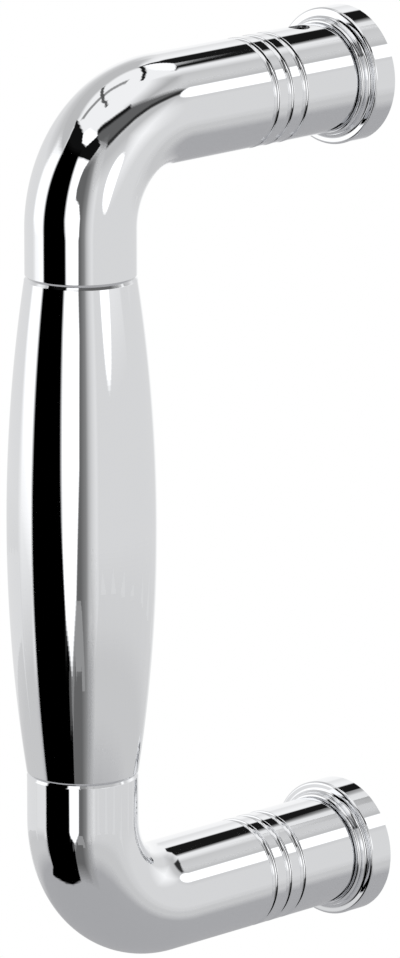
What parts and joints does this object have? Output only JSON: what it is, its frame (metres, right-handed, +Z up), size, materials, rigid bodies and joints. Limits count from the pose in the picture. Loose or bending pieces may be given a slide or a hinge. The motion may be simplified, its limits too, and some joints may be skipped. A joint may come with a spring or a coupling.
{
  "type": "door pull handle",
  "caption": "Polished chrome pull handle for a door: a swelling barrel grip between bent round stems with turned grooves, on stepped round roses.",
  "frame": {"origin": "on the door face, midway between the two door fixings", "axes": "+Z up, along the grip; +Y into the door, so the handle stands out at -Y; +X to the right, seen from the room"},
  "size_m": [0.0282, 0.0845, 0.1786],
  "materials": {
    "polished_chrome": "mirror polished chrome plate",
    "turned_brass": "turned, unplated",
    "blackened_steel": "black oxide"
  },
  "bodies": {
    "root": {"grip": "polished_chrome", "upper_elbow": "polished_chrome", "lower_elbow": "polished_chrome", "upper_rose": "polished_chrome", "lower_rose": "polished_chrome", "upper_spigot": "turned_brass", "lower_spigot": "turned_brass", "upper_joint_stud": "blackened_steel", "lower_joint_stud": "blackened_steel", "upper_grub_screw": "blackened_steel", "lower_grub_screw": "blackened_steel"}
  },
  "joints": []
}
